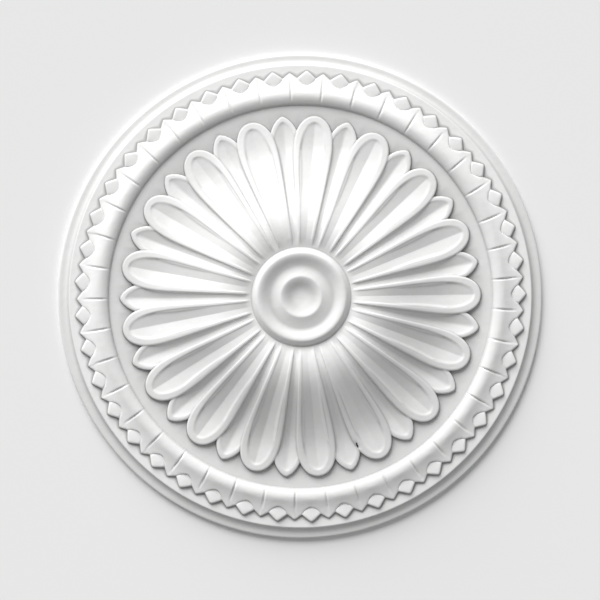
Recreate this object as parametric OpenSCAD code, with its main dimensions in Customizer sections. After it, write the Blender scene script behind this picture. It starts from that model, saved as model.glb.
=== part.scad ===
// Ceiling rose, cast in one piece of plaster, in millimetres.
// It lies on its flat back with the carved face up: +Z is the way the face looks when the rose is fixed.
// From the edge inwards: moulded rim, band of lozenges and points, half-round ring with V joints,
// flat field, two ranks of petals that fall from a bell-shaped crown, and the turned boss.

/* [Rose] */
// Diameter over the outer edge
rose_d = 600; // [500:1:720]
// Height of the flat field that the petals lie on
field_h = 15.5; // [12:0.5:17]
// Width of the flat field between the petal tips and the ring
field_w = 13; // [8:0.5:20]

/* [Rim] */
// Height of the thin outer edge
edge_h = 6.4; // [5:0.2:8]
// Rounding of the outer edge
edge_round = 3.6; // [2:0.2:5]
// Width of the rim, from the outer edge to the arris of the band
rim_w = 14; // [12:0.5:18]
// Height of the flat band that carries the lozenges and points
band_h = 13; // [11:0.5:14]

/* [Lozenges and points] */
// Number of lozenges, and of points and ring joints between them
lozenge_count = 41; // [30:1:44]
// Clear width of the band outside the lozenge tips
band_margin = 6.5; // [4:0.5:9]
// Length of a lozenge, from its outer tip to the bottom of its scallop
lozenge_l = 19; // [16:0.5:22]
// Width of a lozenge, from notch to notch
lozenge_w = 23.6; // [20:0.2:26]
// How far the scallop that a lozenge is let into reaches in from the notches
scallop_deep = 10.6; // [9:0.1:12]
// Width of the groove round the inner half of a lozenge
scallop_groove = 1.3; // [0.8:0.1:2]
// Depth of that groove
scallop_d = 0.9; // [0.6:0.1:2]
// Height of the lozenges and points above the band
lozenge_h = 4; // [2.5:0.25:5]
// How far a point stops short of the circle of the lozenge tips
point_back = 3; // [1:0.5:5]
// How far the notches beside a lozenge lie inside that circle
notch_back = 9; // [7:0.5:12]
// Slope width of the flanks of lozenges and points
flank_w = 1.9; // [1:0.1:3.5]

/* [Ring] */
// Width of the ring's steep inner side
ring_in_w = 12.5; // [9:0.5:16]
// Distance from the ring's crest out to the scallops
ring_out_w = 11; // [9:0.5:14]
// Height of the ring's crest above the field
ring_h = 8; // [6:0.5:10]
// Height by which the ring's long outer side dies away
ring_fall = 9.6; // [8:0.1:10]
// Distance over which it dies away
ring_reach = 14; // [10:0.5:18]
// Depth of the V joints across the ring
joint_d = 2.2; // [1.5:0.1:3]

/* [Petals] */
// Number of large petals, with a small one behind each gap
petal_count = 17; // [12:1:20]
// Height of the crown, where the petals' rims are highest
crown_h = 59; // [48:1:70]
// Radius of the circle along which the crown is highest
crown_r = 86; // [80:1:95]
// Width of the bell curve down which the petals fall
bell_w = 51; // [45:1:60]
// Height of the petals' rims at the tips
tip_h = 20.5; // [19.5:0.5:24]
// Width of a petal's rounded edge, from its outline to the top of its rim
roll_w = 2.6; // [2:0.1:5]
// Height of the top of the rim above the outline
roll_h = 3.2; // [2:0.1:4]
// Depth of the wall inside the rim
inner_h = 2.1; // [1:0.1:3]
// Width of that wall
inner_w = 2.7; // [1.5:0.1:4]
// How far inside a large petal's tip its wall lies
inner_back = 9; // [8:0.1:13]
// Slope of the V inside a large petal, as rise over run
crease_slope = 0.27; // [0.05:0.01:0.3]

/* [Boss] */
// Diameter of the boss at its foot
boss_d = 123; // [110:1:136]
// Height of the boss's foot, where the petals end
foot_h = 52.5; // [42:0.5:62]
// Height of the outer bead above the foot
bead_h = 7.5; // [5:0.5:10]
// Width of the outer bead's outer side
bead_out_w = 9; // [7:0.5:12]
// Width of its inner side, down to the groove
bead_in_w = 14; // [10:0.5:16]
// Depth of the groove below the bead
groove_d = 5.5; // [4:0.5:7]
// Radius of the inner arris, which rings the dish
dish_r = 25.2; // [20:0.1:28]
// Height of the arris above the groove
arris_h = 3.6; // [2:0.1:5]
// Depth of the dish below its arris
dish_d = 7.6; // [4:0.1:9]

/* [Back] */
// Radius of the flat pad in the middle of the back
pad_r = 66; // [60:1:72]
// Thickness of the casting over the hollow, below the petals' rims
shell_t = 17; // [14:0.5:20]
// How far the hollow's edge lies inside the petal tips
hollow_margin = 20; // [12:1:30]
// Draft of the hollow's walls, as a width
draft_w = 5; // [3:0.5:8]

/* [Hidden] */
$fn = 180;

rose_r = rose_d / 2;
arris_r = rose_r - rim_w;
lozenge_tip_r = arris_r - band_margin;
scallop_foot_r = lozenge_tip_r - lozenge_l;
scallop_mid_r = scallop_foot_r + scallop_deep;
notch_r = lozenge_tip_r - notch_back;
point_r = lozenge_tip_r - point_back;
ornament_top = band_h + lozenge_h;
pitch = 360 / lozenge_count;
// angle from a lozenge's axis to the notch beside it, where its scallop runs out
notch_a = asin(lozenge_w / 2 / scallop_mid_r);
// a lozenge lies this much lower than the points beside it
let_in = 0.3;

// the ring's own section stops here, inside the notches, below the tops of the points
ring_end_r = notch_r - 1;
ring_crest_r = scallop_foot_r - ring_out_w;
ring_in_r = ring_crest_r - ring_in_w;
ring_top = field_h + ring_h;

tip_r = ring_in_r - field_w;
boss_r = boss_d / 2;
groove_z = foot_h + bead_h - groove_d;
period = 360 / petal_count;

// A petal's outline: |a / half_a| ^ p + ((r - from_r) / (to_r - from_r)) ^ q = 1, with a its angle
// off the axis and r the radius. It runs straight in from from_r to the boss.
// Each row is [half_a, from_r, p, q, to_r], for the outline and for the wall inside the rim.
LARGE = [0.38 * period, tip_r - 84, 2, 3.5, tip_r];
SMALL = [0.307 * period, tip_r - 74, 1.5, 3.1, tip_r];
LARGE_INSIDE = [0.25 * period, tip_r - 84, 2, 3, tip_r - inner_back];
SMALL_INSIDE = [0.235 * period, tip_r - 74, 1.5, 3, tip_r - 0.83 * inner_back];
// the small petals: lower, with a lower wall inside the rim and a steeper V
small_drop = 1;
small_inner = 0.7 * inner_h;
small_slope = crease_slope + 0.15;
// how fast the relief narrows towards the boss: full width at this radius and beyond
full_r = 150;
// share of the wall inside the rim that is left at the boss, growing from this radius over this width
wall_least = 0.35;
wall_from_r = 100;
wall_blend = 45;
// share of the wall that is left at the tips, and of the V's slope at the tips and at the boss
wall_at_tip = 0.35;
vee_at_tip = 0.6;
vee_at_boss = 0.5;
// petals end this far outside their outline, so that they don't fill their neighbours' creases
large_margin = 0.3;
small_margin = 1.5;
// the relief dies out over this width, where the rims have come down to the boss
foot_blend = 11;
foot_drop = 1.5;

function smooth(t) = let (c = min(max(t, 0), 1)) c * c * (3 - 2 * c);
function arc_mm(a, r) = a * PI / 180 * r;

// Height of the petals' rims: a parabola from the boss up to the crown, a bell curve from there to the tips
function bell(r) = exp(-pow((r - crown_r) / bell_w, 2) / 2);
function rim_line(r) = r < crown_r
    ? crown_h - (crown_h - foot_h - foot_drop) * pow((crown_r - r) / (crown_r - boss_r), 2)
    : tip_h + (crown_h - tip_h) * (bell(r) - bell(tip_r)) / (1 - bell(tip_r));

// Distance in from a petal's outline, in mm, to first order
function reach(r, leaf) = max(r - leaf[1], 0) / (leaf[4] - leaf[1]);
function leaf_f(a, r, leaf) = max(pow(abs(a) / leaf[0], leaf[2]) + pow(reach(r, leaf), leaf[3]), 0.0001);
function leaf_depth(a, r, leaf) =
    let (f = leaf_f(a, r, leaf), p = leaf[2], q = leaf[3])
    let (across = p * pow(abs(a) / leaf[0], p - 1) / arc_mm(leaf[0], r))
    let (along = q * pow(reach(r, leaf), q - 1) / (leaf[4] - leaf[1]))
    let (slope = pow(f, 1 / p - 1) / p * norm([across, along]))
    (1 - pow(f, 1 / p)) / max(slope, 0.0001);

// Radius of a petal's outline at an angle, and half its angle at a radius
function leaf_edge(a, leaf) = abs(a) >= leaf[0] ? 0
    : leaf[1] + (leaf[4] - leaf[1]) * pow(1 - pow(abs(a) / leaf[0], leaf[2]), 1 / leaf[3]);
function leaf_side(r, leaf) = leaf[0] * pow(max(1 - pow(reach(r, leaf), leaf[3]), 0), 1 / leaf[2]);

// Below the rim: a quarter round at the outline, a soft wall inside the rim, and a V down to the axis
function leaf_relief(a, r, leaf, inside, wall_h, slope) =
    let (scale = min(1, r / full_r))
    let (x = min(max(leaf_depth(a, r, leaf) / (roll_w * scale), 0), 1))
    let (edge = roll_h * (sqrt(max(1 - pow(1 - x, 2), 0)) - 1))
    let (wall = wall_h * smooth(leaf_depth(a, r, inside) / (inner_w * scale) + 0.5))
    let (vee = slope * arc_mm(max(leaf_side(r, inside) - abs(a), 0), r))
    let (wall_in = wall_least + (1 - wall_least) * smooth((r - wall_from_r) / wall_blend))
    let (wall_out = 1 - (1 - wall_at_tip) * smooth((r - tip_r + 44) / 30))
    let (vee_in = 1 - (1 - vee_at_boss) * smooth((130 - r) / 50))
    let (vee_out = 1 - (1 - vee_at_tip) * smooth((r - tip_r + 64) / 50))
    edge - wall * wall_in * wall_out - vee * vee_in * vee_out;

// Height of the petals at an angle off a large petal's axis, brought down to the boss's foot
function petal_z(a, r) =
    let (b = period / 2 - abs(a))
    let (large = leaf_depth(a, r, LARGE) < -large_margin ? -roll_h - rim_line(r)
        : leaf_relief(a, r, LARGE, LARGE_INSIDE, inner_h, crease_slope))
    let (small = leaf_depth(b, r, SMALL) < -small_margin ? -roll_h - rim_line(r)
        : leaf_relief(b, r, SMALL, SMALL_INSIDE, small_inner, small_slope) - small_drop)
    let (share = smooth((r - boss_r - 0.5) / foot_blend))
    rim_line(r) - foot_drop * (1 - share) + max(large, small) * share;
function petal_edge(a) = max(leaf_edge(a, LARGE), leaf_edge(period / 2 - abs(a), SMALL));

// Height of the ring: steep inside, rounded over the crest, then dying away outside
function ring_inside(t) = field_h + ring_h * pow(max(1 - pow(t, 2.2), 0), 0.62);
function ring_outside(d) = ring_top - ring_fall * (1 - exp(-(norm([d, 3]) - 3) / ring_reach));
function ring_z(r) = r < ring_crest_r
    ? ring_inside((ring_crest_r - r) / ring_in_w)
    : ring_outside(r - ring_crest_r);

function polar(r, a) = [r * cos(a), r * sin(a)];

// Half section of the turned work, from the outer edge in to the axis
cove_w = rim_w - edge_round - 0.4;
bead_crest_r = boss_r - bead_out_w;
groove_r = bead_crest_r - bead_in_w;
// a bowl that stops a little short of a whole half wave, so that it meets the groove at an arris
dish_wave = 167;
function dish_z(t) = groove_z + arris_h - dish_d * (1 + cos(dish_wave * pow(t, 1.15))) / 2;
function turned_section() = concat(
    [[0, 0], [rose_r, 0]],
    [for (a = [0:22.5:90])
        [rose_r - edge_round * (1 - cos(a)), edge_h - edge_round * (1 - sin(a))]],
    [for (t = [0.25, 0.45, 0.65, 0.85, 1])
        [rose_r - edge_round - cove_w * t, edge_h + (band_h - 0.5 - edge_h) * pow(t, 2.6)]],
    [[arris_r, band_h], [ring_end_r, band_h]],
    [for (t = [1, 0.8, 0.6, 0.4, 0.25, 0.1, 0])
        let (r = ring_crest_r + (ring_end_r - ring_crest_r) * t) [r, ring_z(r)]],
    [for (a = [15:15:90]) let (r = ring_crest_r - ring_in_w * sin(a)) [r, ring_z(r)]],
    [[boss_r, field_h], [boss_r, foot_h + 0.3]],
    [for (t = [0.85, 0.7, 0.55, 0.4, 0.2, 0])
        [bead_crest_r + bead_out_w * t, foot_h + bead_h * (1 + cos(180 * pow(t, 1.35))) / 2]],
    [for (t = [0.2:0.2:1])
        [bead_crest_r - bead_in_w * t, foot_h + bead_h - groove_d * (1 - cos(180 * t)) / 2]],
    [for (t = [0.25:0.25:1])
        [groove_r * (1 - t) + dish_r * t, groove_z + arris_h * pow(t, 1.5)]],
    [for (t = [0.85, 0.7, 0.5, 0.3, 0]) [dish_r * t, dish_z(t)]]
);
module turned_work() {
    rotate_extrude() polygon(turned_section());
}

// The petals as one body: a grid of columns at set angles and rows out to the outline, on a flat underside
half_columns = [0, 0.32, 0.62, 0.76, 0.94, 1.08];
column_angles = concat(
    [for (c = half_columns) c * LARGE[0]],
    [period / 2],
    [for (i = [len(half_columns) - 1:-1:1]) period - half_columns[i] * LARGE[0]]
);
columns_per_petal = len(column_angles);
column_total = columns_per_petal * petal_count;
function column_angle(i) = column_angles[i % columns_per_petal] + floor(i / columns_per_petal) * period;
function column_off(i) =
    let (a = column_angles[i % columns_per_petal])
    a > period / 2 ? a - period : a;

inner_row_r = boss_r - 4;
row_step = 24;
body_rows = concat(
    [inner_row_r, boss_r + 1, boss_r + 10],
    [for (r = [crown_r:row_step:tip_r - 1.6 * row_step]) r]
);
// rows near the outline, as distances from it
edge_rows = [inner_back + 4, inner_back + inner_w / 2, inner_back - inner_w / 2, roll_w, 0.35 * roll_w, 0];
function row_r(j, i) = j < len(body_rows)
    ? body_rows[j]
    : petal_edge(column_off(i)) - edge_rows[j - len(body_rows)];
row_total = len(body_rows) + len(edge_rows);

function petal_top() = [
    for (j = [0:row_total - 1]) for (i = [0:column_total - 1])
        let (r = row_r(j, i), xy = polar(r, column_angle(i)))
        [xy[0], xy[1], j == 0 ? foot_h : petal_z(column_off(i), r)]
];
petal_floor = field_h / 3;
function petal_bottom(r_index) = [
    for (i = [0:column_total - 1])
        let (xy = polar(row_r(r_index, i), column_angle(i)))
        [xy[0], xy[1], petal_floor]
];

module petals() {
    n = column_total;
    last = (row_total - 1) * n;
    inner_base = row_total * n;
    outer_base = inner_base + n;
    points = concat(petal_top(), petal_bottom(0), petal_bottom(row_total - 1));
    top_faces = [
        for (j = [0:row_total - 2]) for (i = [0:n - 1])
            let (k = (i + 1) % n, p = j * n, q = (j + 1) * n)
            for (half = [0, 1])
                half == 0 ? [p + i, p + k, q + i] : [p + k, q + k, q + i]
    ];
    wall_faces = [
        for (i = [0:n - 1])
            let (k = (i + 1) % n)
            for (f = [
                [last + i, last + k, outer_base + k, outer_base + i],
                [inner_base + i, inner_base + k, k, i],
                [outer_base + i, outer_base + k, inner_base + k, inner_base + i]
            ]) f
    ];
    polyhedron(points, concat(top_faces, wall_faces));
}

// One closed outline round all the lozenges and points, stepped in by a margin
function ornament_outline(inset) = [
    for (i = [0:lozenge_count - 1])
        for (k = [[0, lozenge_tip_r], [notch_a, notch_r], [pitch / 2, point_r], [pitch - notch_a, notch_r]])
            polar(k[1] - inset, i * pitch + k[0])
];

// The raised ornament: a star-shaped slab with sloping flanks, open inside the ring
module ornament_slab() {
    n = 4 * lozenge_count;
    inner_r = ring_crest_r;
    heights = [band_h / 2, band_h - 0.01, ornament_top];
    insets = [0, 0, flank_w];
    outer = [for (j = [0:2]) for (p = ornament_outline(insets[j])) [p[0], p[1], heights[j]]];
    inner = [
        for (z = [heights[0], heights[2]]) for (i = [0:n - 1])
            let (xy = polar(inner_r, i * 360 / n)) [xy[0], xy[1], z]
    ];
    sides = [
        for (j = [0, 1]) for (i = [0:n - 1])
            let (k = (i + 1) % n, p = j * n, q = (j + 1) * n)
            for (half = [0, 1])
                half == 0 ? [p + i, q + k, p + k] : [p + i, q + i, q + k]
    ];
    caps = [
        for (i = [0:n - 1])
            let (k = (i + 1) % n, low = 3 * n, high = 4 * n, top = 2 * n)
            for (f = [
                [top + i, high + i, high + k, top + k],
                [high + i, low + i, low + k, high + k],
                [low + i, i, k, low + k]
            ]) f
    ];
    polyhedron(concat(outer, inner), concat(sides, caps));
}

// Plan of a scallop, drawn in by a margin: |x / deep| ^ p + |y / half_w| ^ p = 1 towards the ring, and
// straight out past the lozenge's tip
scallop_p = 1.55;
function scallop_plan(inset, half_w) = concat(
    [for (t = [-1, -0.9, -0.75, -0.55, -0.3, 0, 0.3, 0.55, 0.75, 0.9, 1])
        let (run = pow(1 - pow(abs(t), scallop_p), 1 / scallop_p))
        [-(scallop_deep - inset) * run, (lozenge_w / 2 - inset) * t]],
    inset > 0 ? [[0, half_w]] : [],
    [[lozenge_l, half_w], [lozenge_l, -half_w]],
    inset > 0 ? [[0, -half_w]] : []
);

// Lets a lozenge in below the ring, with a groove round its inner half
module scallop_cut() {
    translate([scallop_mid_r, 0, ornament_top - let_in - scallop_d])
        difference() {
            linear_extrude(ring_h + scallop_d) polygon(scallop_plan(0, lozenge_w / 2));
            translate([0, 0, -1])
                linear_extrude(scallop_d + 1) polygon(scallop_plan(scallop_groove, lozenge_w / 2 + 1));
        }
}

// A V joint across the ring, which follows the ring's section and runs out at both ends
joint_stations = [
    for (t = [-1.1, -0.85, -0.45, 0, 0.98, 1.9])
        t < 0 ? ring_crest_r + ring_in_w * t : ring_crest_r + ring_out_w * t
];
joint_depths = [-1, 1, 1, 1, 0.8, -0.3];
module joint_cut() {
    count = len(joint_stations);
    lift = 4;
    points = [
        for (j = [0:count - 1])
            let (r = joint_stations[j], surface = max(ring_z(r), r > ring_crest_r ? ornament_top : 0))
            let (d = joint_d * joint_depths[j], half_w = d + lift)
            for (p = [[r, 0, surface - d], [r, half_w, surface + lift], [r, -half_w, surface + lift]]) p
    ];
    sides = [
        for (j = [0:count - 2]) for (s = [0:2])
            let (k = (s + 1) % 3, p = 3 * j, q = p + 3)
            for (half = [0, 1])
                half == 0 ? [p + s, p + k, q + s] : [p + k, q + k, q + s]
    ];
    polyhedron(points, concat([[2, 1, 0]], sides, [[3 * count - 3, 3 * count - 2, 3 * count - 1]]));
}

// The hollow of the back: its roof keeps the shell's thickness below the petals' rims
hollow_r = tip_r - hollow_margin;
module hollow() {
    start = pad_r + draft_w;
    end = hollow_r - draft_w;
    roof = [for (t = [0:0.1:1]) let (r = start + (end - start) * t) [r, rim_line(r) - shell_t]];
    rotate_extrude() polygon(concat([[pad_r, -1], [pad_r, 0]], roof, [[hollow_r, 0], [hollow_r, -1]]));
}

module ceiling_rose() {
    color([0.93, 0.93, 0.92])
        difference() {
            union() {
                turned_work();
                petals();
                ornament_slab();
            }
            for (i = [0:lozenge_count - 1]) {
                rotate([0, 0, i * pitch]) scallop_cut();
                rotate([0, 0, (i + 0.5) * pitch]) joint_cut();
            }
            hollow();
        }
}

ceiling_rose();
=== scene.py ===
import math

import bpy
import numpy as np
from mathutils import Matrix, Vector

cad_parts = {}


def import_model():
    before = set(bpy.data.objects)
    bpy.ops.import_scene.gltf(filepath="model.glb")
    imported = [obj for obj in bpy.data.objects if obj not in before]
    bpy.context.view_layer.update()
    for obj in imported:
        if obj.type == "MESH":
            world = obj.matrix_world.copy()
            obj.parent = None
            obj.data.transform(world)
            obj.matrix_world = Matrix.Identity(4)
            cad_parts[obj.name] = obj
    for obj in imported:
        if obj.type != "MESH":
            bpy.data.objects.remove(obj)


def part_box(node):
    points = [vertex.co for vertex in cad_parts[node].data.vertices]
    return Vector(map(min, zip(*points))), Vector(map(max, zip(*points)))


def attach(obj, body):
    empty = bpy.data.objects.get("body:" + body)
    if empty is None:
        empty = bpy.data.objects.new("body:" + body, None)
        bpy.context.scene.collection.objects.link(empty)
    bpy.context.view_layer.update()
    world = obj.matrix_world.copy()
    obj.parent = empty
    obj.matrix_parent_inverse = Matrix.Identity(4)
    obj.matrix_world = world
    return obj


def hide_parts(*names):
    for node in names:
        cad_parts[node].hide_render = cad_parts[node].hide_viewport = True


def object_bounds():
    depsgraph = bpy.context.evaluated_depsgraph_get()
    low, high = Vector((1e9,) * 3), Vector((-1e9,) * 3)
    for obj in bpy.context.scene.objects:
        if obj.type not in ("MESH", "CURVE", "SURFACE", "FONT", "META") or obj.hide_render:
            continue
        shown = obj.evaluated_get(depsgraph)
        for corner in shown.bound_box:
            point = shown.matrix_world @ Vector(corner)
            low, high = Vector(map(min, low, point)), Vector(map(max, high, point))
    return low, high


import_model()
cadLow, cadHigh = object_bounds()
roseLow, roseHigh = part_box("ceiling_rose")
mm = 0.001
seeds = {"jointTurns": 4, "segments": 5, "petalTurns": 7, "petalLengths": 11, "waves": 23}

# The surface is worked out in millimetres, in polar form: a ring is a row of points round the axis,
# and the rings run from the middle of the face out to the edge, round it, and back in underneath.

rose = {
    "edgeRadius": (roseHigh.x - roseLow.x) / 2 / mm,   # outer edge, from the frame
    "fieldHeight": 15.5,      # flat field that the petals lie on
    "fieldWidth": 13,         # from the petal tips to the ring
    "bandHeight": 13,         # flat band that carries the lozenges and points
    "rimWidth": 14,           # from the arris of the band to the outer edge
    "edgeHeight": 6.4,        # top of the thin outer edge
    "edgeRound": 2.4,         # how far in its rounding reaches
    "edgeDrop": 2.6,          # and how far down
    "coveInset": 2.8,         # the part of the rim's width that the hollow curve leaves free
    "coveCurve": 4,           # power of that curve
    "coveTop": 0.5,           # where it starts below the band
    "wave": 0.07,             # uneven surface left by the hand that finished it
    "waveCount": 9,
    "waveLength": (45, 140),
    "waveGrows": (6, 6),      # none at this height above the back, all of it higher by the second
    "sharpAngle": 50,         # edges sharper than this keep a crisp line, degrees
}
shadeAmount = {                     # painted shade in crevices, hollows and under edges: how dark, from 0 to 1, and how far it reaches, in mm
    "wholeFaceShade": 0.1,           # painted shade on the whole face but the outer band
    "scallop": 0.15,
    "joint": 0.2,
    "flank": 0.85,            # round the lozenges and points
    "flankReach": 0.7,
    "ringFoot": 0.3,
    "ringFootReach": 1.2,
    "field": 0.1,
    "petalWall": 0.4,         # along the wall inside a petal's rim
    "petalWallReach": 1.3,
    "smallPetal": 0.6,        # share of that on the small petals
    "petalSide": 0.35,
    "petalSideReach": 1,
    "petalTipReach": 1.3,
    "tipGroove": [1, 1, 0.45, 0],     # from the petal tips out over the field
    "tipGrooveLeast": 0.65,   # share of that away from the notches between two petals
    "notchReach": 5,
    "bossGroove": (0.2, 3),   # each of these is how dark and how far
    "bossGrooveWide": (0.15, 8),
    "dish": (0.25, 6),
    "dishRadius": 15,         # where the dish is darkest
    "bossFoot": (0.45, 1.6),
    "rimArris": (0.45, 1.3),
    "rim": 0.1,
}


def smooth(t):
    # 0 below 0, 1 above 1, and 3t^2 - 2t^3 between
    t = np.clip(t, 0, 1)
    return t * t * (3 - 2 * t)


def softMin(a, b, reachMm):
    # the lower of two heights, rounded over where they cross: -k log(exp(-a/k) + exp(-b/k))
    low = np.minimum(a, b)
    return low - reachMm * np.log(np.exp((low - a) / reachMm) + np.exp((low - b) / reachMm))


def near(distance, reachMm):
    # 1 on a line, fading away on both sides as a bell curve
    return np.exp(-(distance / reachMm) ** 2)


def shadeLine(distance, kind):
    # painted shade along a line: how dark, times the bell curve of its reach
    return kind[0] * near(distance, kind[1])


def after(r, span):
    # 0 up to a radius, then rising to 1 over a length
    return smooth((r - span[0]) / span[1])


def before(r, span):
    # 0 outside a radius, rising to 1 over a length inwards
    return smooth((span[0] - r) / span[1])


def arcMm(angle, radius):
    # length along the circle, for an angle in degrees
    return np.radians(angle) * radius


def column(values):
    return np.asarray(values, float)[:, None]


def aroundFrom(halfShares, count):
    # angles of the columns: shares of half a repeat, mirrored to a whole one and repeated round the circle
    half = np.asarray(halfShares) * 180 / count
    whole = np.concatenate([half, 360 / count - half[-2:0:-1]])
    return (whole[None, :] + np.arange(count)[:, None] * 360 / count).ravel()


def offAxis(angle, count):
    # angle off the nearest repeat's axis, from -180/count to 180/count
    repeat = 360 / count
    return (angle + repeat / 2) % repeat - repeat / 2


def jitterRound(angle, count, spread, seed):
    # a small random turn for each repeat, full on its axis and fading out half-way to the next
    turns = np.random.default_rng(seed).uniform(-spread, spread, count)
    nearest = np.round(angle * count / 360).astype(int) % count
    return turns[nearest] * smooth(1 - np.abs(offAxis(angle, count)) * count / 180)


ornament = {
    "count": 41,              # lozenges, and ring joints and points between them
    "margin": 6.5,            # clear band outside the lozenge tips
    "lozengeLength": 19,
    "lozengeHeight": 4,       # above the band
    "lozengeWide": 11.8,      # half of its width across the notches
    "pillow": 0.6,            # how much higher a lozenge is in its middle
    "scallopDeep": 10.6,      # from the notches in to the bottom of its scallop
    "scallopRound": 1.55,     # 2 is an ellipse, 1 a plain V
    "grooveWidth": 1.7,
    "grooveDepth": 0.6,
    "pointBack": 3,           # points stop short of the lozenge tips by this
    "flankWidth": 1.9,
    "ringHeight": 8,          # crest above the field
    "ringInner": 12.5,        # steep inner side
    "ringOuter": 12,          # from the crest to the bottom of the scallops
    "outerFall": 9.6,         # the ring's long outer side dies away by this, out over the points
    "outerReach": 14,
    "jointHalf": 1.7,         # V joints across the ring
    "jointDepth": 2,
    "jointJitter": 0.12,
    "segmentLift": 0.28,      # the segments between joints differ in height by this, up or down
    "innerCurve": (2.2, 0.62),        # the powers of the ring's inner side
    "crestRound": 3,          # rounding where the inner side meets the outer one
    "lozengeEdge": (0.84, 1.1),       # slope of its outline beside the tip, and the tip's rounding
    "pointEdge": (0.74, 0.7),
    "letInWidth": 1.1,        # width of the step from the ring down to a lozenge
    "grooveEnds": (1.5, 3),   # the groove ends this far outside the notches, fading over the second
    "jointOut": (-3, 10),     # the joints end this far from the notches, fading over the second
    "jointIn": (4, 7),        # they are shallow up to this far from the ring's foot
    "jointFoot": (-0.5, 1.5),         # and they run out at the ring's foot
    "jointShallow": 0.3,      # share of their depth there
    "flank": (0.5, 0.2, 0.3),         # shares of the height that are a step, a slope and a rounding
}
arrisRadius = rose["edgeRadius"] - rose["rimWidth"]
lozengeTip = arrisRadius - ornament["margin"]
scallopFoot = lozengeTip - ornament["lozengeLength"]
notchRadius = scallopFoot + ornament["scallopDeep"]
ornamentTop = rose["bandHeight"] + ornament["lozengeHeight"]
ringCrest = scallopFoot + 1 - ornament["ringOuter"]
ringIn = ringCrest - ornament["ringInner"]
ringTop = rose["fieldHeight"] + ornament["ringHeight"]
tipRadius = ringIn - rose["fieldWidth"]


def roundedV(side, slope, rounding):
    # fall of a V to its side, rounded at the tip: hypot(slope * side, rounding) - rounding
    return np.hypot(slope * side, rounding) - rounding


def ringHeight(r):
    # inner side (1 - t^p)^q; outer side rounded over, then dying away as 1 - exp(-distance / reach)
    p, q = ornament["innerCurve"]
    inner = np.clip((ringCrest - r) / ornament["ringInner"], 0, 1)
    rise = rose["fieldHeight"] + ornament["ringHeight"] * (1 - inner ** p) ** q
    outer = roundedV(np.maximum(r - ringCrest, 0), 1, ornament["crestRound"])
    fall = ornament["outerFall"] * (1 - np.exp(-outer / ornament["outerReach"]))
    return np.where(r < ringCrest, rise, ringTop - fall)


def ornamentEdge(a):
    # outline of lozenges and points: from each tip the edge falls away on both sides as a rounded V
    lozengeSide = arcMm(np.abs(a), lozengeTip)
    pointSide = arcMm(180 / ornament["count"] - np.abs(a), lozengeTip)
    lozenge = lozengeTip - roundedV(lozengeSide, *ornament["lozengeEdge"])
    point = lozengeTip - ornament["pointBack"] - roundedV(pointSide, *ornament["pointEdge"])
    return np.maximum(lozenge, point)


def scallopSide(across):
    # how far in from the notches the scallop's edge lies: deep * (1 - (across / wide)^p)^(1/p)
    p = ornament["scallopRound"]
    share = np.clip(np.abs(across) / ornament["lozengeWide"], 0, 1)
    return ornament["scallopDeep"] * (1 - share ** p) ** (1 / p)


def scallopRadius(a):
    # the same edge as a radius from the rose's axis
    return notchRadius * np.cos(np.radians(a)) - scallopSide(notchRadius * np.sin(np.radians(a)))


def ornamentHeight(a, r, lift):
    # ring running out over the points, lozenge tops let in below it, joints and flanks, and the painted shade
    # in their crevices
    step, least = 0.02, 0.02      # degrees, and a slope that keeps the division below finite
    lean = (ornamentEdge(a + step) - ornamentEdge(a - step)) / arcMm(2 * step, lozengeTip)
    inside = (ornamentEdge(a) - r) / np.hypot(1, lean)
    x = r * np.cos(np.radians(a)) - notchRadius
    y = r * np.sin(np.radians(a))
    p = ornament["scallopRound"]
    wide, deep = ornament["lozengeWide"], ornament["scallopDeep"]
    f = ((np.abs(x) / deep) ** p + (np.abs(y) / wide) ** p + 1e-6) ** (1 / p)
    slopeX = (np.abs(x) / deep) ** (p - 1) / deep
    slopeY = (np.abs(y) / wide) ** (p - 1) / wide
    fromScallop = (1 - f) / np.maximum(f ** (1 - p) * np.hypot(slopeX, slopeY), least)
    letIn = smooth(fromScallop / ornament["letInWidth"] + 0.5)
    letIn = np.where((x > 0) & (np.abs(y) < wide), 1, letIn)
    bulge = ornament["pillow"] * (1 - np.clip(f, 0, 1) ** 2)
    top = (ringHeight(r) + lift) * (1 - letIn) + (ornamentTop + bulge) * letIn
    groove = np.clip(1 - np.abs(fromScallop) / (ornament["grooveWidth"] / 2), 0, 1)
    grooveEnds = before(x, ornament["grooveEnds"])
    top = top - ornament["grooveDepth"] * groove * grooveEnds
    fromJoint = arcMm(180 / ornament["count"] - np.abs(a), r)
    joint = np.clip(1 - fromJoint / ornament["jointHalf"], 0, 1)
    shallow = ornament["jointShallow"]
    fade = before(r - notchRadius, ornament["jointOut"])
    fade = fade * (shallow + (1 - shallow) * after(r - ringIn, ornament["jointIn"]))
    fade = fade * after(r - ringIn, ornament["jointFoot"])
    top = top - ornament["jointDepth"] * joint * fade
    share = np.clip(inside / ornament["flankWidth"], 0, 1)
    upright, sloping, rounded = ornament["flank"]
    flank = upright + sloping * share + rounded * np.sqrt(1 - (1 - share) ** 2)
    # painted shade in the scallop grooves and joints, round the lozenges and points, at the ring's foot and
    # over the field
    paintedShade = shadeAmount["scallop"] * groove * grooveEnds + shadeAmount["joint"] * (joint * fade) ** 1.5
    paintedShade = paintedShade + shadeAmount["flank"] * near(inside, shadeAmount["flankReach"])
    paintedShade = paintedShade + shadeAmount["ringFoot"] * near(r - ringIn - 0.5, shadeAmount["ringFootReach"])
    paintedShade = paintedShade + shadeAmount["field"] * (r < ringIn) + shadeAmount["wholeFaceShade"] * before(r, (scallopFoot, 8))
    return rose["bandHeight"] + (top - rose["bandHeight"]) * flank, np.clip(paintedShade, 0, 1)


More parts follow.
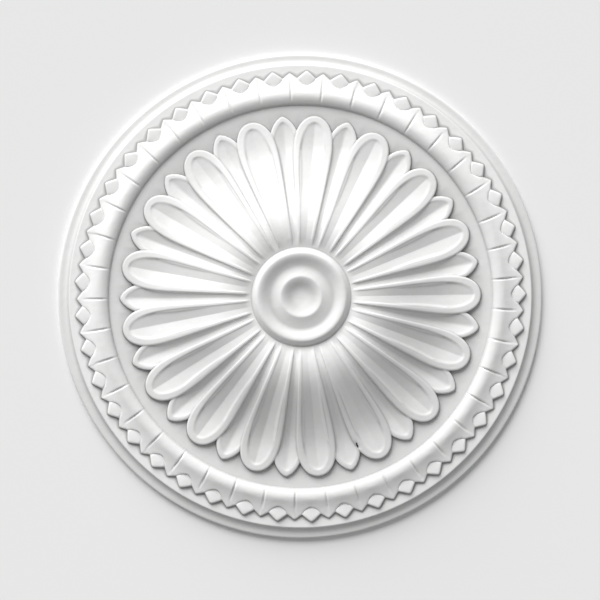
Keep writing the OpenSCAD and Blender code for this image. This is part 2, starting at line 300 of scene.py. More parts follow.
# where the mesh's columns and rows lie: columns as shares of half a repeat; rows in mm for the foot and
# the groove, and as shares of the way for the others
ornamentColumns = [0, 0.09, 0.19, 0.3, 0.39, 0.465, 0.53, 0.59, 0.68, 0.78, 0.855, 0.895, 0.95, 1]
ornamentRows = {
    "foot": [-6, -2.5, -0.7, 0, 0.1, 0.45, 1.2, 2.4, 4.1, 6.2, 9],
    "ring": [0, 0.25, 0.5, 0.75, 1],
    "groove": [-0.85, -0.4, 0, 0.4, 0.85],
    "lozenge": [0.16, 0.33, 0.5, 0.66, 0.83, 1],
    "flank": [0.25, 0.5, 0.75, 0.93, 1],
    "band": [0.02, 0.5, 1],
}
scallopGap = 1.6          # least distance from a scallop's edge to the outline, and to the ring's last row
shoulderBack = 2.6        # last row on top of a lozenge, in from the outline
bandEnd = 3               # last row of the band, in from the arris


def ornamentRings():
    # rings from the field over the ring's section, along the scallops, over the lozenges to the band
    nominal = aroundFrom(ornamentColumns, ornament["count"])[None, :]
    off = offAxis(nominal, ornament["count"])
    edge = ornamentEdge(off)
    scallop = np.minimum(scallopRadius(off), edge - scallopGap)
    foot = ringIn + column(ornamentRows["foot"]) + 0 * off
    crest = ringCrest + column(ornamentRows["ring"]) * (scallop - scallopGap - ringCrest)
    groove = scallop + column(ornamentRows["groove"])
    shoulder = np.maximum(edge - shoulderBack, scallop + 1)
    lozenge = groove[-1:] + column(ornamentRows["lozenge"]) * (shoulder - groove[-1:])
    flank = shoulder + column(ornamentRows["flank"]) * (edge - shoulder)
    band = edge + column(ornamentRows["band"]) * (arrisRadius - bandEnd - edge)
    r = np.concatenate([foot, crest, groove, lozenge, flank, band])
    segment = np.round(nominal * ornament["count"] / 360).astype(int) % ornament["count"]
    rng = np.random.default_rng(seeds["segments"])
    lift = rng.uniform(-1, 1, ornament["count"])[segment] * ornament["segmentLift"]
    tilt = rng.uniform(-1, 1, ornament["count"])[segment] * ornament["segmentLift"]
    tilt = tilt * off * ornament["count"] / 180
    z, paintedShade = ornamentHeight(off + 0 * r, r, (lift + tilt) * after(r, (ringIn, 3)))
    z = np.where(r < ringIn, rose["fieldHeight"] + 0 * r, z)
    z = np.where(r > edge, rose["bandHeight"] + 0 * r, z)
    betweenAxes = nominal + 180 / ornament["count"]
    turn = jitterRound(betweenAxes, ornament["count"], ornament["jointJitter"], seeds["jointTurns"])
    return r, nominal + turn + 0 * r, z, paintedShade


petals = {
    "count": 17,              # large petals, with a small one behind each gap
    "crownHeight": 59,        # the petals' rims where they are highest
    "crownRadius": 86,
    "bellWidth": 51,
    "tipHeight": 20.5,        # the petals' rims at the tips
    "rollWidth": 2.6,         # rounded edge: from the petal's outline to the top of the rim
    "rollHeight": 3.2,        # top of the rim above the outline
    "innerFall": 2.1,         # wall inside the rim, down into the petal
    "innerWidth": 2.7,
    "crease": 0.27,           # slope of the V inside a large petal, down to the crease on its axis
    "smallDrop": 1,           # small petals lie lower by this
    "smallCrease": 0.42,
    "tipCrease": 0.6,         # share of those slopes that is left under the tips
    "bossCrease": 0.5,        # and at the boss
    "fullRadius": 150,        # inside this the relief narrows with the petal
    "tipJitter": 0.5,         # uneven length, mm
    "turnJitter": 0.12,       # uneven spacing, degrees
    "bossDrop": 1.5,          # the line of the rims ends this far above the boss's foot
    "bossFade": 11,           # the relief grows over this length from the boss
    "smallWall": 0.7,         # inner wall of a small petal, as a share of a large one's
    "largeMargin": 0.05,      # the relief is cut this far outside a large petal's outline
    "smallMargin": 1.5,
    "bossWall": 0.35,         # share of the inner wall that is left near the boss
    "tipWallLoss": 0.65,      # share of it that is gone under the tips
    "wallGrows": (100, 45),   # each of these is a radius, and the length over which the change is made
    "wallFades": (180, 30),
    "creaseFades": (160, 50),
    "creaseGrows": (130, 50),
    # where the painted shade along the petals' walls and sides grows and fades
    "shadeGrows": (110, 30),
    "shadeFades": (205, 30),
    "sideShadeGrows": (80, 60),
    "lengthsDiffer": (150, 60),
    "spacingDiffers": (70, 60),
}
boss = {
    "radius": 61.5,
    "foot": 52.5,
    "bead": 7.5,              # crest above the foot
    "beadOuter": 9,
    "beadInner": 14,
    "groove": 5.5,            # below the bead
    "dishRadius": 25.2,
    "arris": 3.6,             # above the groove
    "dish": 7.6,              # below the arris
    "dishCurve": (1.4, 0.93),         # power of the radius, and how much of half a wave the dish takes
    "dishRim": 0.012,         # height of that wave at the arris
    "arrisRound": 0.25,
    "grooveCurve": 1.5,       # power of the groove's inner side
    "beadRise": (0.85, 0.15), # shares of the bead's inner side that are a cosine and a straight slope
    "beadCurve": 1.35,        # power of the bead's outer side
}
petalRepeat = 360 / petals["count"]
# outline of a petal, and of the wall inside its rim:
# |angle / half| ^ p + ((r - start) / (tip - start)) ^ q = 1
largeLeaf = {"half": 0.38 * petalRepeat, "start": tipRadius - 84, "tip": tipRadius, "p": 2, "q": 3.5}
smallLeaf = {"half": 0.307 * petalRepeat, "start": tipRadius - 74, "tip": tipRadius, "p": 1.5, "q": 3.1}
largeInside = {"half": 0.25 * petalRepeat, "start": tipRadius - 84, "tip": tipRadius - 9, "p": 2, "q": 3}
smallInside = {"half": 0.235 * petalRepeat, "start": tipRadius - 74, "tip": tipRadius - 7.6, "p": 1.5, "q": 3}


def rimLine(r):
    # height of the petals' rims: a parabola from the boss up to the crown, a bell curve down to the tips
    bell = np.exp(-((r - petals["crownRadius"]) / petals["bellWidth"]) ** 2 / 2)
    last = math.exp(-((tipRadius - petals["crownRadius"]) / petals["bellWidth"]) ** 2 / 2)
    fall = petals["tipHeight"] + (petals["crownHeight"] - petals["tipHeight"]) * (bell - last) / (1 - last)
    share = (petals["crownRadius"] - r) / (petals["crownRadius"] - boss["radius"])
    rise = petals["crownHeight"] - (petals["crownHeight"] - boss["foot"] - petals["bossDrop"]) * share ** 2
    return np.where(r < petals["crownRadius"], rise, fall)


def leafDepth(a, r, leaf):
    # distance in from the outline, to first order: (1 - F^(1/p)) / |gradient of F^(1/p)|
    p, q, run = leaf["p"], leaf["q"], leaf["tip"] - leaf["start"]
    side = np.abs(a) / leaf["half"]
    along = np.maximum(r - leaf["start"], 0) / run
    f = np.maximum(side ** p + along ** q, 1e-4)
    slope = np.hypot(p * side ** (p - 1) / arcMm(leaf["half"], r), q * along ** (q - 1) / run)
    return (1 - f ** (1 / p)) / np.maximum(f ** (1 / p - 1) / p * slope, 1e-4)


def leafEdge(a, leaf):
    # radius of the outline at an angle
    side = np.clip(np.abs(a) / leaf["half"], 0, 1)
    return leaf["start"] + (leaf["tip"] - leaf["start"]) * (1 - side ** leaf["p"]) ** (1 / leaf["q"])


def petalEdge(a):
    return np.maximum(leafEdge(a, largeLeaf), leafEdge(petalRepeat / 2 - np.abs(a), smallLeaf))


def leafSide(r, leaf):
    # half angle of the outline at a radius
    run = np.clip((r - leaf["start"]) / (leaf["tip"] - leaf["start"]), 0, 1)
    return leaf["half"] * (1 - run ** leaf["q"]) ** (1 / leaf["p"])


def leafRelief(a, r, leaf, inside, fall, crease):
    # below the rim: a quarter round at the outline, a soft wall inside the rim, and a V down to the axis;
    # also painted shade along the foot of that wall
    scale = np.minimum(1, r / petals["fullRadius"])
    x = leafDepth(a, r, leaf) / (petals["rollWidth"] * scale)
    edge = petals["rollHeight"] * (np.sqrt(1 - (1 - np.clip(x, 0, 1)) ** 2) - 1)
    wall = fall * smooth(leafDepth(a, r, inside) / (petals["innerWidth"] * scale) + 0.5)
    left = petals["bossWall"]
    wall = wall * (left + (1 - left) * after(r, petals["wallGrows"]))
    wall = wall * (1 - petals["tipWallLoss"] * after(r, petals["wallFades"]))
    ends = 1 - (1 - petals["tipCrease"]) * after(r, petals["creaseFades"])
    ends = ends * (1 - (1 - petals["bossCrease"]) * before(r, petals["creaseGrows"]))
    vee = crease * ends * arcMm(np.maximum(leafSide(r, inside) - np.abs(a), 0), r)
    # painted shade along the wall inside the rim
    paintedShade = shadeAmount["petalWall"] * near(leafDepth(a, r, inside) / scale, shadeAmount["petalWallReach"])
    paintedShade = paintedShade * after(r, petals["shadeGrows"]) * before(r, petals["shadeFades"])
    return edge - wall - vee, paintedShade


def petalHeight(a, r):
    # the large petals over the small ones; the relief dies out where the rims turn down to the boss. Also
    # painted shade along the petals' walls and sides
    outOfSight = -99
    large, largeShade = leafRelief(a, r, largeLeaf, largeInside, petals["innerFall"], petals["crease"])
    large = np.where(leafDepth(a, r, largeLeaf) < -petals["largeMargin"], outOfSight, large)
    b = petalRepeat / 2 - np.abs(a)
    smallFall = petals["smallWall"] * petals["innerFall"]
    small, smallShade = leafRelief(b, r, smallLeaf, smallInside, smallFall, petals["smallCrease"])
    smallOutside = leafDepth(b, r, smallLeaf) < -petals["smallMargin"]
    small = np.where(smallOutside, outOfSight, small - petals["smallDrop"])
    share = smooth((r - boss["radius"] - 0.5) / petals["bossFade"])
    scale = np.minimum(1, r / petals["fullRadius"])
    # painted shade: along the wall of whichever petal is on top, along the large petals' sides, and over the
    # whole face
    paintedShade = np.where(large > small, largeShade, shadeAmount["smallPetal"] * smallShade)
    side = near(leafDepth(a, r, largeLeaf) / scale, shadeAmount["petalSideReach"])
    paintedShade = paintedShade + shadeAmount["petalSide"] * side * after(r, petals["sideShadeGrows"])
    paintedShade = paintedShade * share
    height = rimLine(r) - petals["bossDrop"] * (1 - share) + np.maximum(large, small) * share
    return height, paintedShade + shadeAmount["wholeFaceShade"]


# where the mesh's columns and rows lie: columns as shares of half a repeat; rows in mm from the boss, in mm
# in from the tips, as shares of the way between those, and in mm out over the field
petalColumns = [0, 0.025, 0.08, 0.155, 0.23, 0.3, 0.355, 0.4, 0.44, 0.475, 0.51, 0.55,
                0.595, 0.64, 0.68, 0.715, 0.743, 0.76, 0.79, 0.84, 0.905, 0.965, 1]
petalRows = {
    "boss": [0, 1.2, 2.8, 4.8, 7.2, 10, 13.2, 16.8],
    "body": (20.8, 4.1),      # first one and step
    "middle": [0.17, 0.34, 0.5, 0.67, 0.84],
    "tip": [16, 14, 12.4, 11, 9.8, 8.6, 7.5, 6.4, 5.3, 4.2, 3.1, 2.1, 1.3, 0.7, 0.3, 0.05],
    "field": [0.1, 0.5, 1.4],
}
bodyStart = 0.8           # first row, out from the boss
bodyEnd = 176             # radius that the evenly spaced rows run to
tipGroove = [0.1, -0.5, -0.35, 0]     # height of the field round the petal tips, cut by a tooling groove
fieldRow = ringIn - 9     # the last row of the petals' part


def petalRings():
    # columns keep to the sides of the large petals and rows to the tips, so that edges stay crisp
    nominal = aroundFrom(petalColumns, petals["count"])[None, :]
    off = offAxis(nominal, petals["count"])
    turns = np.linspace(0, petalRepeat / 2, 4001)
    crossing = turns[np.argmax(leafEdge(turns, largeLeaf) < leafEdge(petalRepeat / 2 - turns, smallLeaf))]
    forkRadius = petalEdge(crossing)

    def bent(r):
        # the column at the side of a large petal follows that side out to the fork
        side = leafSide(np.minimum(r, forkRadius), largeLeaf)
        half = petalRepeat / 2
        inner = np.abs(off) * side / largeLeaf["half"]
        outer = half - (half - np.abs(off)) * (half - side) / (half - largeLeaf["half"])
        return np.where(np.abs(off) <= largeLeaf["half"] + 1e-9, inner, outer) * np.sign(off)

    edge = petalEdge(bent(column([forkRadius])))
    start = boss["radius"] + bodyStart
    firstRow, rowStep = petalRows["body"]
    body = start + np.concatenate([petalRows["boss"], np.arange(firstRow, bodyEnd - start, rowStep)])
    last = column(body)[-1:]
    fromTip = column(petalRows["tip"])
    middle = last + column(petalRows["middle"]) * (edge - fromTip[0] - last)
    r = np.concatenate([column(body) + 0 * off, middle, edge - fromTip])
    a = bent(r)
    z, paintedShade = petalHeight(a, r)
    toEdge = petalEdge(a) - r
    # painted shade, darkest at the petals' outlines
    paintedShade = np.clip(np.maximum(paintedShade, near(toEdge * (toEdge > 0), shadeAmount["petalTipReach"])), 0, 1)
    r = np.concatenate([r, edge + column(petalRows["field"]), column([fieldRow]) + 0 * off])
    a = np.concatenate([a, a[-1:], a[-1:], a[-1:], a[-1:]])
    z = np.concatenate([z, rose["fieldHeight"] + column(tipGroove) + 0 * off])
    # painted shade in the tooling groove round the tips, darkest in the notches between two petals, and over
    # the field
    fromNotch = arcMm(np.abs(bent(forkRadius + 0 * off)) - crossing, forkRadius)
    least = shadeAmount["tipGrooveLeast"]
    notch = least + (1 - least) * near(fromNotch, shadeAmount["notchReach"])
    fieldShade = np.maximum(column(shadeAmount["tipGroove"]) * notch, shadeAmount["field"] + shadeAmount["wholeFaceShade"])
    paintedShade = np.concatenate([paintedShade, fieldShade])
    rng = np.random.default_rng(seeds["petalLengths"])
    tips = rng.uniform(-1, 1, 2 * petals["count"]) * petals["tipJitter"]
    nearest = np.round(nominal * petals["count"] / 180).astype(int) % (2 * petals["count"])
    fade = smooth(1 - np.abs(offAxis(nominal, 2 * petals["count"])) * petals["count"] / 90)
    r = r + tips[nearest] * fade * after(r, petals["lengthsDiffer"]) * before(r, (fieldRow, 3))
    turn = jitterRound(nominal, petals["count"], petals["turnJitter"], seeds["petalTurns"])
    return r, nominal - off + a + turn * after(r, petals["spacingDiffers"]), z, paintedShade


bossCrest = boss["radius"] - boss["beadOuter"]
grooveRadius = bossCrest - boss["beadInner"]
grooveLevel = boss["foot"] + boss["bead"] - boss["groove"]


def bossHeight(r):
    # bowl, arris, groove and bead: bowl and groove meet at the arris, the bead's outer side is a cosine
    power, part = boss["dishCurve"]
    bowl = (1 + np.cos(np.pi * np.clip(r / boss["dishRadius"], 0, 1.1) ** power * part)) / 2
    dish = grooveLevel + boss["arris"] - boss["dish"] * (bowl - boss["dishRim"]) / (1 - boss["dishRim"])
    share = np.clip((grooveRadius - r) / (grooveRadius - boss["dishRadius"]), 0, 2)
    grooveSide = grooveLevel + boss["arris"] * share ** boss["grooveCurve"]
    middle = softMin(dish, grooveSide, boss["arrisRound"])
    climb = np.clip((r - grooveRadius) / boss["beadInner"], 0, 1)
    curved, straight = boss["beadRise"]
    inner = grooveLevel + boss["groove"] * (curved * (1 - np.cos(np.pi * climb)) / 2 + straight * climb)
    outer = np.clip((r - bossCrest) / boss["beadOuter"], 0, 1)
    bead = boss["foot"] + boss["bead"] * (1 + np.cos(np.pi * outer ** boss["beadCurve"])) / 2
    return np.where(r < grooveRadius, middle, np.where(r < bossCrest, inner, bead))


bossRows = {
    "dish": (2.5, 23, 2.8),           # first, end and step
    "arris": [23.6, 24.6, 25.2, 25.8, 26.6, 28, 30, 32.5, 35],
    "beadInner": 8,           # numbers of rows on the two sides of the bead
    "beadOuter": 11,
}


def evenAngles(count):
    return np.linspace(0, 360, count, endpoint=False)[None, :]


def bossRings():
    # rings from the middle of the dish out to the foot of the bead
    r = np.concatenate([
        np.arange(*bossRows["dish"]), bossRows["arris"],
        grooveRadius + np.linspace(0, 1, bossRows["beadInner"])[:-1] * boss["beadInner"],
        bossCrest + boss["beadOuter"] * np.linspace(0, 1, bossRows["beadOuter"]),
    ])
    z = bossHeight(r)
    groove = r - grooveRadius
    # painted shade over the face, in the groove, the dish and at the boss's foot
    paintedShade = shadeAmount["wholeFaceShade"] + shadeLine(groove, shadeAmount["bossGroove"]) + shadeLine(groove, shadeAmount["bossGrooveWide"])
    paintedShade = paintedShade + shadeLine(r - shadeAmount["dishRadius"], shadeAmount["dish"]) + shadeLine(r - boss["radius"], shadeAmount["bossFoot"])
    return column(r), evenAngles(12 * petals["count"]), column(z), column(paintedShade)


back = {
    "padRadius": 66,          # flat pad in the middle
    "thickness": 17,          # of the casting below the petals' rims
    "margin": 20,             # edge of the hollow inside the petal tips
    "draft": 5,
}
# rows of the edge and the back: in mm from the arris and the band; as shares of the hollow curve; in degrees
# round the outer edge; in mm on the land and in the middle
arrisRows = [(-2, 0), (-0.7, 0), (-0.15, -0.06), (0.2, -0.35)]
coveRows = [1, 0.95, 0.9, 0.84, 0.76, 0.65, 0.52, 0.36, 0.18, 0]
edgeRows = [20, 38, 54, 68, 80, 90]
landRows = {"inset": 12, "radius": 250}
roofRows = 15
padRow = 30


def edgeAndBackRings():
    # arris, cavetto and rounded edge, then in over the flat land, up the hollow's roof and down to the pad
    edge, band, low = rose["edgeRadius"], rose["bandHeight"], rose["edgeHeight"]
    coveWidth, coveRise = rose["rimWidth"] - rose["coveInset"], band - rose["coveTop"] - low
    rounding, drop = rose["edgeRound"], rose["edgeDrop"]
    face = [[arrisRadius + out, band + up] for out, up in arrisRows]
    face += [[edge - rounding - coveWidth * t, low + coveRise * t ** rose["coveCurve"]] for t in coveRows]
    face += [[edge - rounding * (1 - math.sin(t)), low - drop * (1 - math.cos(t))]
             for t in np.radians(edgeRows)]
    face += [[edge, 0]]
    hollowRadius = tipRadius - back["margin"]
    first, last = back["padRadius"] + back["draft"], hollowRadius - back["draft"]
    under = [[edge - landRows["inset"], 0], [landRows["radius"], 0], [hollowRadius + 1, 0], [hollowRadius, 0]]
    roof = np.linspace(last, first, roofRows)
    under += list(zip(roof, rimLine(roof) - back["thickness"]))
    under += [[back["padRadius"] + 0.2, 1], [back["padRadius"], 0], [back["padRadius"] - 1, 0], [padRow, 0]]
    section = np.array(face + [list(p) for p in under])
    outwards = section[:, 0] - arrisRadius
    # painted shade on the rim outside the arris and along the arris's foot, none on the back
    paintedShade = (shadeAmount["rim"] + shadeAmount["wholeFaceShade"]) * (section[:, 0] > arrisRadius + 3)
    paintedShade = (paintedShade + shadeLine(outwards - 1.6, shadeAmount["rimArris"])) * (section[:, 1] > 0)
    return column(section[:, 0]), evenAngles(6 * ornament["count"]), column(section[:, 1]), column(paintedShade)


def gridFaces(first, rows, cols):
    # quads between neighbouring rings of one grid, facing out
    i = np.arange(rows - 1)[:, None] * cols + first
    j = np.arange(cols)[None, :]
    k = (j + 1) % cols
    return np.stack([i + j, i + cols + j, i + cols + k, i + k], -1).reshape(-1, 4)


def bridgeFaces(firstIn, anglesIn, firstOut, anglesOut):
    # triangles between two rings with different numbers of points, stepping on whichever angle comes next
    nIn, nOut = len(anglesIn), len(anglesOut)
    following = np.concatenate([np.append(anglesIn[1:], anglesIn[0] + 360),
                                np.append(anglesOut[1:], anglesOut[0] + 360)])
    stepsIn = (np.arange(nIn + nOut) < nIn)[np.argsort(following, kind="stable")]
    i = np.cumsum(stepsIn) - stepsIn
    j = np.cumsum(~stepsIn) - ~stepsIn
    third = np.where(stepsIn, firstIn + (i + 1) % nIn, firstOut + (j + 1) % nOut)
    return np.stack([firstIn + i % nIn, firstOut + j % nOut, third], -1)


def handFinish(x, y, z):
    # slow unevenness over the face: a sum of crossing sine waves
    rng = np.random.default_rng(seeds["waves"])
    total = 0 * x
    for _ in range(rose["waveCount"]):
        heading, phase = rng.uniform(0, 2 * np.pi, 2)
        length = rng.uniform(*rose["waveLength"])
        total = total + np.sin((x * np.cos(heading) + y * np.sin(heading)) * 2 * np.pi / length + phase)
    return z + rose["wave"] * total / 3 * after(z, rose["waveGrows"])


chip = {
    "angle": -69.8,           # where the rim of one petal is chipped, degrees and mm from the axis
    "radius": 196.5,
    "halfLength": 4.3,        # along the petal
    "halfWidth": 1.45,
    "depth": 2.6,
    "level": 21,              # height of its middle, and how far up and down its painted shade reaches
    "reach": 9,
    "lowest": 5,              # below this height, on the back, nothing is cut
    "ragged": 0.7,            # how uneven the edge of the painted shade is
    "raggedGrain": (700, 2),  # scale per metre, and detail
    "colourEdge": (1.35, 0.95),       # where the painted shade starts, and where it is full
}


def chipped(x, y, z):
    # a small gouge: an ellipse that falls off as exp(-d^4)
    c, s = math.cos(math.radians(chip["angle"])), math.sin(math.radians(chip["angle"]))
    along = (x * c + y * s - chip["radius"]) / chip["halfLength"]
    across = (y * c - x * s) / chip["halfWidth"]
    return z - chip["depth"] * np.exp(-(along ** 2 + across ** 2) ** 2) * (z > chip["lowest"])


def buildCasting():
    # one closed surface: four sets of rings, the strips between them, and a point in the middle of each side;
    # each point carries its share of painted shade
    parts = [bossRings(), petalRings(), ornamentRings(), edgeAndBackRings()]
    places, shades = [[[0, 0, float(bossHeight(np.array(0.0)))]]], [[shadeAmount["wholeFaceShade"]]]
    faces, grids, total = [], [], 1
    for part in parts:
        r, a, z, paintedShade = np.broadcast_arrays(*part)
        x, y = r * np.cos(np.radians(a)), r * np.sin(np.radians(a))
        z = np.where(z > 1, chipped(x, y, handFinish(x, y, z)), z)
        places.append(np.stack([x, y, z], -1).reshape(-1, 3))
        shades.append(paintedShade.ravel())
        faces.append(gridFaces(total, *r.shape))
        grids.append((total, total + r.size - r.shape[1], a[0], a[-1]))
        total += r.size
    for (_, lastRing, _, anglesIn), (firstRing, _, anglesOut, _) in zip(grids[:-1], grids[1:]):
        faces.append(bridgeFaces(lastRing, anglesIn, firstRing, anglesOut))
    # a fan of triangles closes the middle of the face, and another the middle of the back
    for ring, count, middle, turned in [(grids[0][0], len(grids[0][2]), 0, 1),
                                        (grids[-1][1], len(grids[-1][3]), total, -1)]:
        j = np.arange(count)
        faces.append(np.stack([0 * j + middle, ring + j, ring + (j + 1) % count], -1)[:, ::turned])
    points = np.concatenate(places + [[[0, 0, 0]]])
    points[:, 2] = np.clip(points[:, 2], 0, (roseHigh.z - roseLow.z) / mm)
    return points * mm, faces, np.concatenate(shades + [[0]])


def meshFrom(name, points, faceSets):
    # one mesh from arrays of triangles and quads
    mesh = bpy.data.meshes.new(name)
    corners = np.concatenate([f.ravel() for f in faceSets])
    sizes = np.concatenate([np.full(len(f), f.shape[1]) for f in faceSets])
    mesh.vertices.add(len(points))
    mesh.vertices.foreach_set("co", points.astype(np.float32).ravel())
    mesh.loops.add(len(corners))
    mesh.loops.foreach_set("vertex_index", corners.astype(np.int32))
    mesh.polygons.add(len(sizes))
    mesh.polygons.foreach_set("loop_start", np.concatenate([[0], np.cumsum(sizes)[:-1]]).astype(np.int32))
    mesh.update(calc_edges=True)
    mesh.polygons.foreach_set("use_smooth", np.ones(len(sizes), bool))
    mesh.validate()
    piece = bpy.data.objects.new(name, mesh)
    bpy.context.scene.collection.objects.link(piece)
    return piece


points, faceSets, shadeShare = buildCasting()
casting = meshFrom("plasterRose", points, faceSets)
# painted shade per point, kept as an attribute that darkens the plaster's colour
shareDark = casting.data.attributes.new("shadeShare", "FLOAT", "POINT")
shareDark.data.foreach_set("value", shadeShare.astype(np.float32))
casting.data.set_sharp_from_angle(angle=math.radians(rose["sharpAngle"]))
triangles = sum((f.shape[1] - 2) * len(f) for f in faceSets)
print("casting:", len(points), "points,", triangles, "triangles")

plaster = {
    "colour": (0.865, 0.865, 0.86, 1),
    "shade": (0.825, 0.825, 0.818, 1),
    "paintedShade": (0.2, 0.2, 0.197, 1),     # colour of the painted shade in the crevices
    "shadeAmount": 0.88,            # how strong the painted shade is
    # near-black painted shade in the chip's hollow
    "chipShadeColour": (0.03, 0.03, 0.03, 1),
    "roughness": 0.62,
    "specular": 0.35,
    "clouds": (14, 4),        # faint clouding: scale per metre, and detail
    "cloudRange": (0.32, 0.62),
    "grain": (900, 3, 0.6),   # fine grain: scale per metre, detail and roughness
    "grainBump": 0.05,
    "grainHeight": 0.0006,
    "brush": (90, 3, 0.55),
    "brushBump": 0.18,
    "brushHeight": 0.002,
}


def newMaterial(name):
    material = bpy.data.materials.new(name)
    material.use_nodes = True
    tree = material.node_tree
    shader = tree.nodes["Principled BSDF"]
    return material, tree, shader


def noiseOn(tree, place, scale, detail, roughness=0.5):
    noise = tree.nodes.new("ShaderNodeTexNoise")
    noise.inputs["Scale"].default_value = scale
    noise.inputs["Detail"].default_value = detail
    noise.inputs["Roughness"].default_value = roughness
    tree.links.new(place, noise.inputs["Vector"])
    return noise.outputs["Fac"]


def attribute(tree, name):
    node = tree.nodes.new("ShaderNodeAttribute")
    node.attribute_name = name
    return node.outputs["Fac"]


def times(tree, value, factor):
    node = tree.nodes.new("ShaderNodeMath")
    node.operation = "MULTIPLY"
    tree.links.new(value, node.inputs[0])
    node.inputs[1].default_value = factor
    return node.outputs["Value"]


def blend(tree, colour, over, share):
    # a colour laid over another where the share is 1
    node = tree.nodes.new("ShaderNodeMix")
    node.data_type = "RGBA"
    tree.links.new(colour, node.inputs["A"])
    node.inputs["B"].default_value = over
    tree.links.new(share, node.inputs["Factor"])
    return node.outputs["Result"]


def chipMask(tree, place):
    # 1 inside the chip: an ellipse along the petal with a ragged edge, where painted shade darkens the hollow
    turn = math.radians(chip["angle"])
    shift = tree.nodes.new("ShaderNodeMapping")
    shift.vector_type = "TEXTURE"
    middle = (chip["radius"] * mm * math.cos(turn), chip["radius"] * mm * math.sin(turn), chip["level"] * mm)
    size = (chip["halfLength"] * mm, chip["halfWidth"] * mm, chip["reach"] * mm)
    shift.inputs["Location"].default_value = middle
    shift.inputs["Rotation"].default_value = (0, 0, turn)
    shift.inputs["Scale"].default_value = size
    tree.links.new(place, shift.inputs["Vector"])
    length = tree.nodes.new("ShaderNodeVectorMath")
    length.operation = "LENGTH"
    tree.links.new(shift.outputs["Vector"], length.inputs[0])
    ragged = tree.nodes.new("ShaderNodeMath")
    ragged.operation = "MULTIPLY_ADD"
    ragged.inputs[1].default_value = chip["ragged"]
    tree.links.new(noiseOn(tree, place, *chip["raggedGrain"]), ragged.inputs[0])
    tree.links.new(length.outputs["Value"], ragged.inputs[2])
    edge = tree.nodes.new("ShaderNodeMapRange")
    edge.inputs["From Min"].default_value, edge.inputs["From Max"].default_value = chip["colourEdge"]
    tree.links.new(ragged.outputs["Value"], edge.inputs["Value"])
    return edge.outputs["Result"]


def makePlaster():
    # matt white casting plaster: faint clouding, painted shade in the crevices, a painted dark chip, fine
    # grain, and soft strokes from the finishing brush
    material, tree, shader = newMaterial("mattWhitePlaster")
    place = tree.nodes.new("ShaderNodeTexCoord").outputs["Object"]
    clouds = noiseOn(tree, place, *plaster["clouds"])
    mix = tree.nodes.new("ShaderNodeMix")
    mix.data_type = "RGBA"
    mix.inputs["A"].default_value = plaster["shade"]
    mix.inputs["B"].default_value = plaster["colour"]
    spread = tree.nodes.new("ShaderNodeMapRange")
    spread.inputs["From Min"].default_value, spread.inputs["From Max"].default_value = plaster["cloudRange"]
    tree.links.new(clouds, spread.inputs["Value"])
    tree.links.new(spread.outputs["Result"], mix.inputs["Factor"])
    # painted shade: a dark colour laid over the plaster by the per-point shade share
    shaded = blend(tree, mix.outputs["Result"], plaster["paintedShade"],
                  times(tree, attribute(tree, "shadeShare"), plaster["shadeAmount"]))
    # painted shade filling the chip's hollow, near black
    coloured = blend(tree, shaded, plaster["chipShadeColour"], chipMask(tree, place))
    tree.links.new(coloured, shader.inputs["Base Color"])
    shader.inputs["Roughness"].default_value = plaster["roughness"]
    shader.inputs["Specular IOR Level"].default_value = plaster["specular"]
    grain = tree.nodes.new("ShaderNodeBump")
    grain.inputs["Strength"].default_value = plaster["grainBump"]
    grain.inputs["Distance"].default_value = plaster["grainHeight"]
    tree.links.new(noiseOn(tree, place, *plaster["grain"]), grain.inputs["Height"])
    strokes = tree.nodes.new("ShaderNodeBump")
    strokes.inputs["Strength"].default_value = plaster["brushBump"]
    strokes.inputs["Distance"].default_value = plaster["brushHeight"]
    tree.links.new(noiseOn(tree, place, *plaster["brush"]), strokes.inputs["Height"])
    tree.links.new(grain.outputs["Normal"], strokes.inputs["Normal"])
    tree.links.new(strokes.outputs["Normal"], shader.inputs["Normal"])
    return material


casting.data.materials.append(makePlaster())
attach(casting, "root")
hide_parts("ceiling_rose")
print("finish: matt white plaster")

studio = {
    "floorColour": (0.85, 0.85, 0.85, 1),
    "floorRoughness": 0.9,
    "floorSpecular": 0.1,
    "floorSize": 60,
    "floorGap": 0.0005,
    "skyColour": (0.9, 0.9, 0.9, 1),
    "sky": 0.34,
    "lampHeading": 111,       # degrees from +X, seen from above
    "lampHeight": 27,         # degrees above the floor
    "lampSpread": 55,         # how wide the light looks from the rose, degrees
    "lampPower": 4.4,
    "lampDistance": 3,        # only where it hangs: the light's strength doesn't depend on it
    "cameraDistance": 4.0,
    "frameWidth": 0.7447,     # metres across the picture
    "lean": (-1.1, 0.4),      # degrees that the camera leans to -X and +Y
    "roll": 0.6,
    "aim": (-0.0002, -0.0036),
}


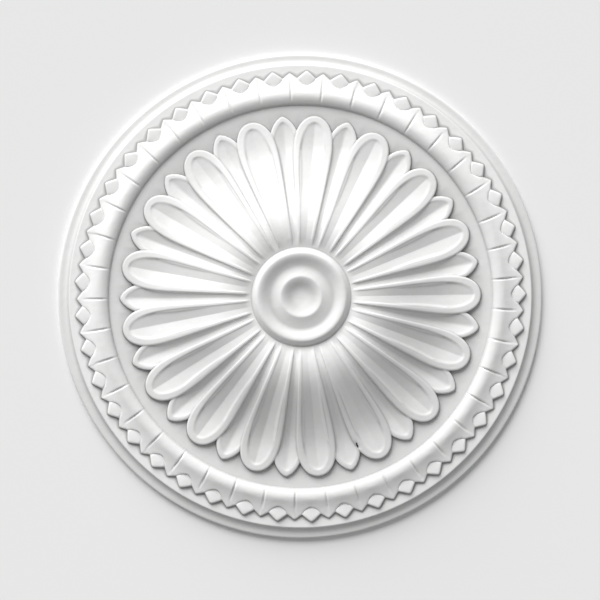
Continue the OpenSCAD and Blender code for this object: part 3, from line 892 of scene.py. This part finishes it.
def makeFloor():
    half = studio["floorSize"] / 2
    mesh = bpy.data.meshes.new("floor")
    corners = [(-half, -half, 0), (half, -half, 0), (half, half, 0), (-half, half, 0)]
    mesh.from_pydata(corners, [], [(0, 1, 2, 3)])
    floor = bpy.data.objects.new("floor", mesh)
    floor.location.z = cadLow.z - studio["floorGap"]
    bpy.context.scene.collection.objects.link(floor)
    material, _, shader = newMaterial("paleFloor")
    shader.inputs["Base Color"].default_value = studio["floorColour"]
    shader.inputs["Roughness"].default_value = studio["floorRoughness"]
    shader.inputs["Specular IOR Level"].default_value = studio["floorSpecular"]
    mesh.materials.append(material)


def makeLight():
    world = bpy.data.worlds.new("studio")
    world.use_nodes = True
    sky = world.node_tree.nodes["Background"]
    sky.inputs["Color"].default_value = studio["skyColour"]
    sky.inputs["Strength"].default_value = studio["sky"]
    bpy.context.scene.world = world
    lamp = bpy.data.lights.new("softbox", "SUN")
    lamp.angle = math.radians(studio["lampSpread"])
    lamp.energy = studio["lampPower"]
    softbox = bpy.data.objects.new("softbox", lamp)
    heading, height = math.radians(studio["lampHeading"]), math.radians(studio["lampHeight"])
    away = studio["lampDistance"]
    softbox.location = (away * math.cos(heading) * math.cos(height),
                        away * math.sin(heading) * math.cos(height), away * math.sin(height))
    softbox.rotation_euler = (0, math.pi / 2 - height, heading)
    bpy.context.scene.collection.objects.link(softbox)


def makeCamera():
    camera = bpy.data.cameras.new("camera")
    camera.lens = camera.sensor_width * studio["cameraDistance"] / studio["frameWidth"]
    camera.clip_start, camera.clip_end = 0.1, 100
    viewer = bpy.data.objects.new("camera", camera)
    leanX, leanY = (math.tan(math.radians(v)) for v in studio["lean"])
    aimX, aimY = studio["aim"]
    viewer.location = (aimX + leanX * studio["cameraDistance"], aimY + leanY * studio["cameraDistance"],
                       studio["cameraDistance"])
    viewer.rotation_euler = (-math.radians(studio["lean"][1]), math.radians(studio["lean"][0]),
                             -math.radians(studio["roll"]))
    bpy.context.scene.collection.objects.link(viewer)
    bpy.context.scene.camera = viewer


makeFloor()
makeLight()
makeCamera()
bpy.context.scene.view_settings.view_transform = "Standard"
print("studio: floor, softbox and camera")
